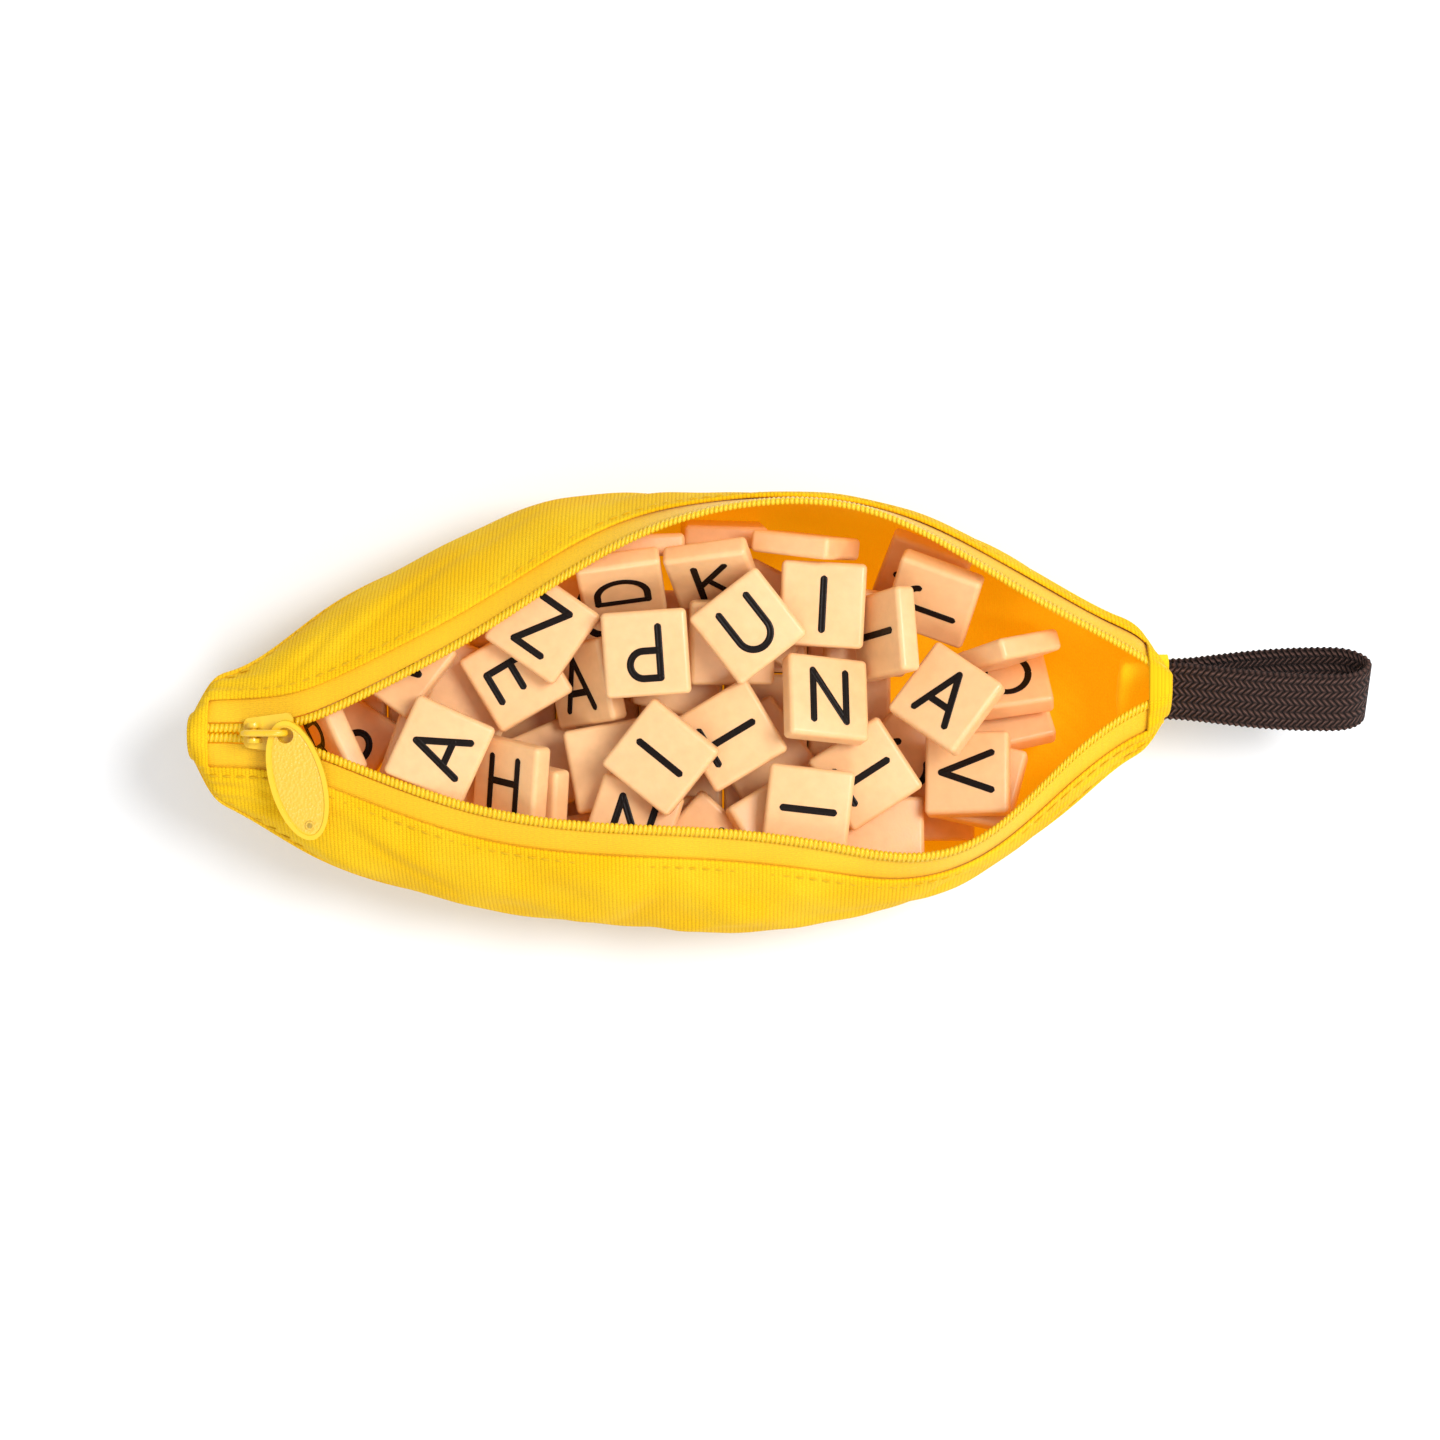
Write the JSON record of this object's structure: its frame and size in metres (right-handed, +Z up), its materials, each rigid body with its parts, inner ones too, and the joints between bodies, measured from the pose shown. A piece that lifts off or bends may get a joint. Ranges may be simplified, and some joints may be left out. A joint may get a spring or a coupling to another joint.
{
  "type": "travel word tile game case",
  "caption": "Crescent-shaped zip pouch of yellow canvas lying open on its base, filled with square letter tiles, with an oval zip pull and a strap loop.",
  "frame": {"origin": "middle of the flat patch of the base that the pouch rests on", "axes": "+Z up, +X along the pouch from the slider end to the strap end, +Y to the far side of the mouth"},
  "size_m": [0.2664, 0.1001, 0.0515],
  "materials": {
    "tile_plastic": "smooth moulded, cream",
    "canvas": "yellow ribbed canvas",
    "lining_cloth": "smooth orange-yellow lining",
    "seam_welt": "folded canvas welt",
    "zip_tape": "woven zip tape",
    "zip_coil": "moulded nylon coil",
    "yellow_enamel": "yellow enamel on die-cast metal",
    "thread": "brown sewing thread",
    "strap_braid": "brown herringbone braid"
  },
  "bodies": {
    "pouch": {"bottom_panel": "canvas", "closed_zip_coil": "zip_coil", "far_seam": "seam_welt", "far_side_panel": "canvas", "far_top_stop": "yellow_enamel", "far_zip_coil": "zip_coil", "far_zip_tape": "zip_tape", "lining": "lining_cloth", "near_seam": "seam_welt", "near_side_panel": "canvas", "near_top_stop": "yellow_enamel", "near_zip_coil": "zip_coil", "near_zip_tape": "zip_tape", "strap_tack": "thread", "strap_tails": "strap_braid", "tile_a_left": "tile_plastic", "tile_a_middle": "tile_plastic", "tile_a_right": "tile_plastic", "tile_blank_near": "tile_plastic", "tile_c": "tile_plastic", "tile_d": "tile_plastic", "tile_e": "tile_plastic", "tile_g": "tile_plastic", "tile_h": "tile_plastic", "tile_i_far": "tile_plastic", "tile_i_near": "tile_plastic", "tile_j": "tile_plastic", "tile_k": "tile_plastic", "tile_l": "tile_plastic", "tile_m": "tile_plastic", "tile_o": "tile_plastic", "tile_on_corner": "tile_plastic", "tile_r": "tile_plastic", "tile_s": "tile_plastic", "tile_standing_left": "tile_plastic", "tile_standing_middle": "tile_plastic", "tile_standing_right": "tile_plastic", "tile_t_middle": "tile_plastic", "tile_t_right": "tile_plastic", "tile_v_left": "tile_plastic", "tile_v_right": "tile_plastic", "tile_x": "tile_plastic", "tile_y": "tile_plastic", "tile_z": "tile_plastic", "tiles_hidden_1": "tile_plastic", "tiles_hidden_2": "tile_plastic", "tiles_hidden_3": "tile_plastic", "tiles_hidden_4": "tile_plastic", "tiles_hidden_5": "tile_plastic", "tiles_under": "tile_plastic", "zip_end_stop": "yellow_enamel"},
    "slider": {"slider_body": "yellow_enamel"},
    "link": {"pull_link": "yellow_enamel"},
    "pull": {"pull_tab": "yellow_enamel"},
    "strap": {"strap_loop": "strap_braid"},
    "letter_p": {"tile_p": "tile_plastic"},
    "letter_u": {"tile_u": "tile_plastic"},
    "letter_i_middle": {"tile_i_middle": "tile_plastic"},
    "letter_n": {"tile_n": "tile_plastic"}
  },
  "joints": [
    {"name": "slider_travel", "type": "slide", "parent": "pouch", "child": "slider", "axis": [1, 0, 0], "range_m": [-0.006, 0], "deforming": ["closed_zip_coil"]},
    {"name": "link_swing", "type": "hinge", "parent": "slider", "child": "link", "pos_m": [-0.0944, -0.00391, 0.04668], "axis": [0, -1, 0], "range_deg": [0, 150]},
    {"name": "pull_swivel", "type": "hinge", "parent": "link", "child": "pull", "pos_m": [-0.08735, -0.00391, 0.04668], "axis": [0, 0, 1], "range_deg": [-18, 3]},
    {"name": "strap_flex", "type": "hinge", "parent": "pouch", "child": "strap", "pos_m": [0.1127, 0.006, 0.031], "axis": [0, 0.829, 0.5592], "range_deg": [-60, 60]},
    {"name": "letter_p_lift", "type": "slide", "parent": "pouch", "child": "letter_p", "axis": [0, 0, 1], "range_m": [0, 0.08]},
    {"name": "letter_u_lift", "type": "slide", "parent": "pouch", "child": "letter_u", "axis": [0, 0, 1], "range_m": [0, 0.08]},
    {"name": "letter_i_middle_lift", "type": "slide", "parent": "pouch", "child": "letter_i_middle", "axis": [0, 0, 1], "range_m": [0, 0.08]},
    {"name": "letter_n_lift", "type": "slide", "parent": "pouch", "child": "letter_n", "axis": [0, 0, 1], "range_m": [0, 0.08]}
  ]
}
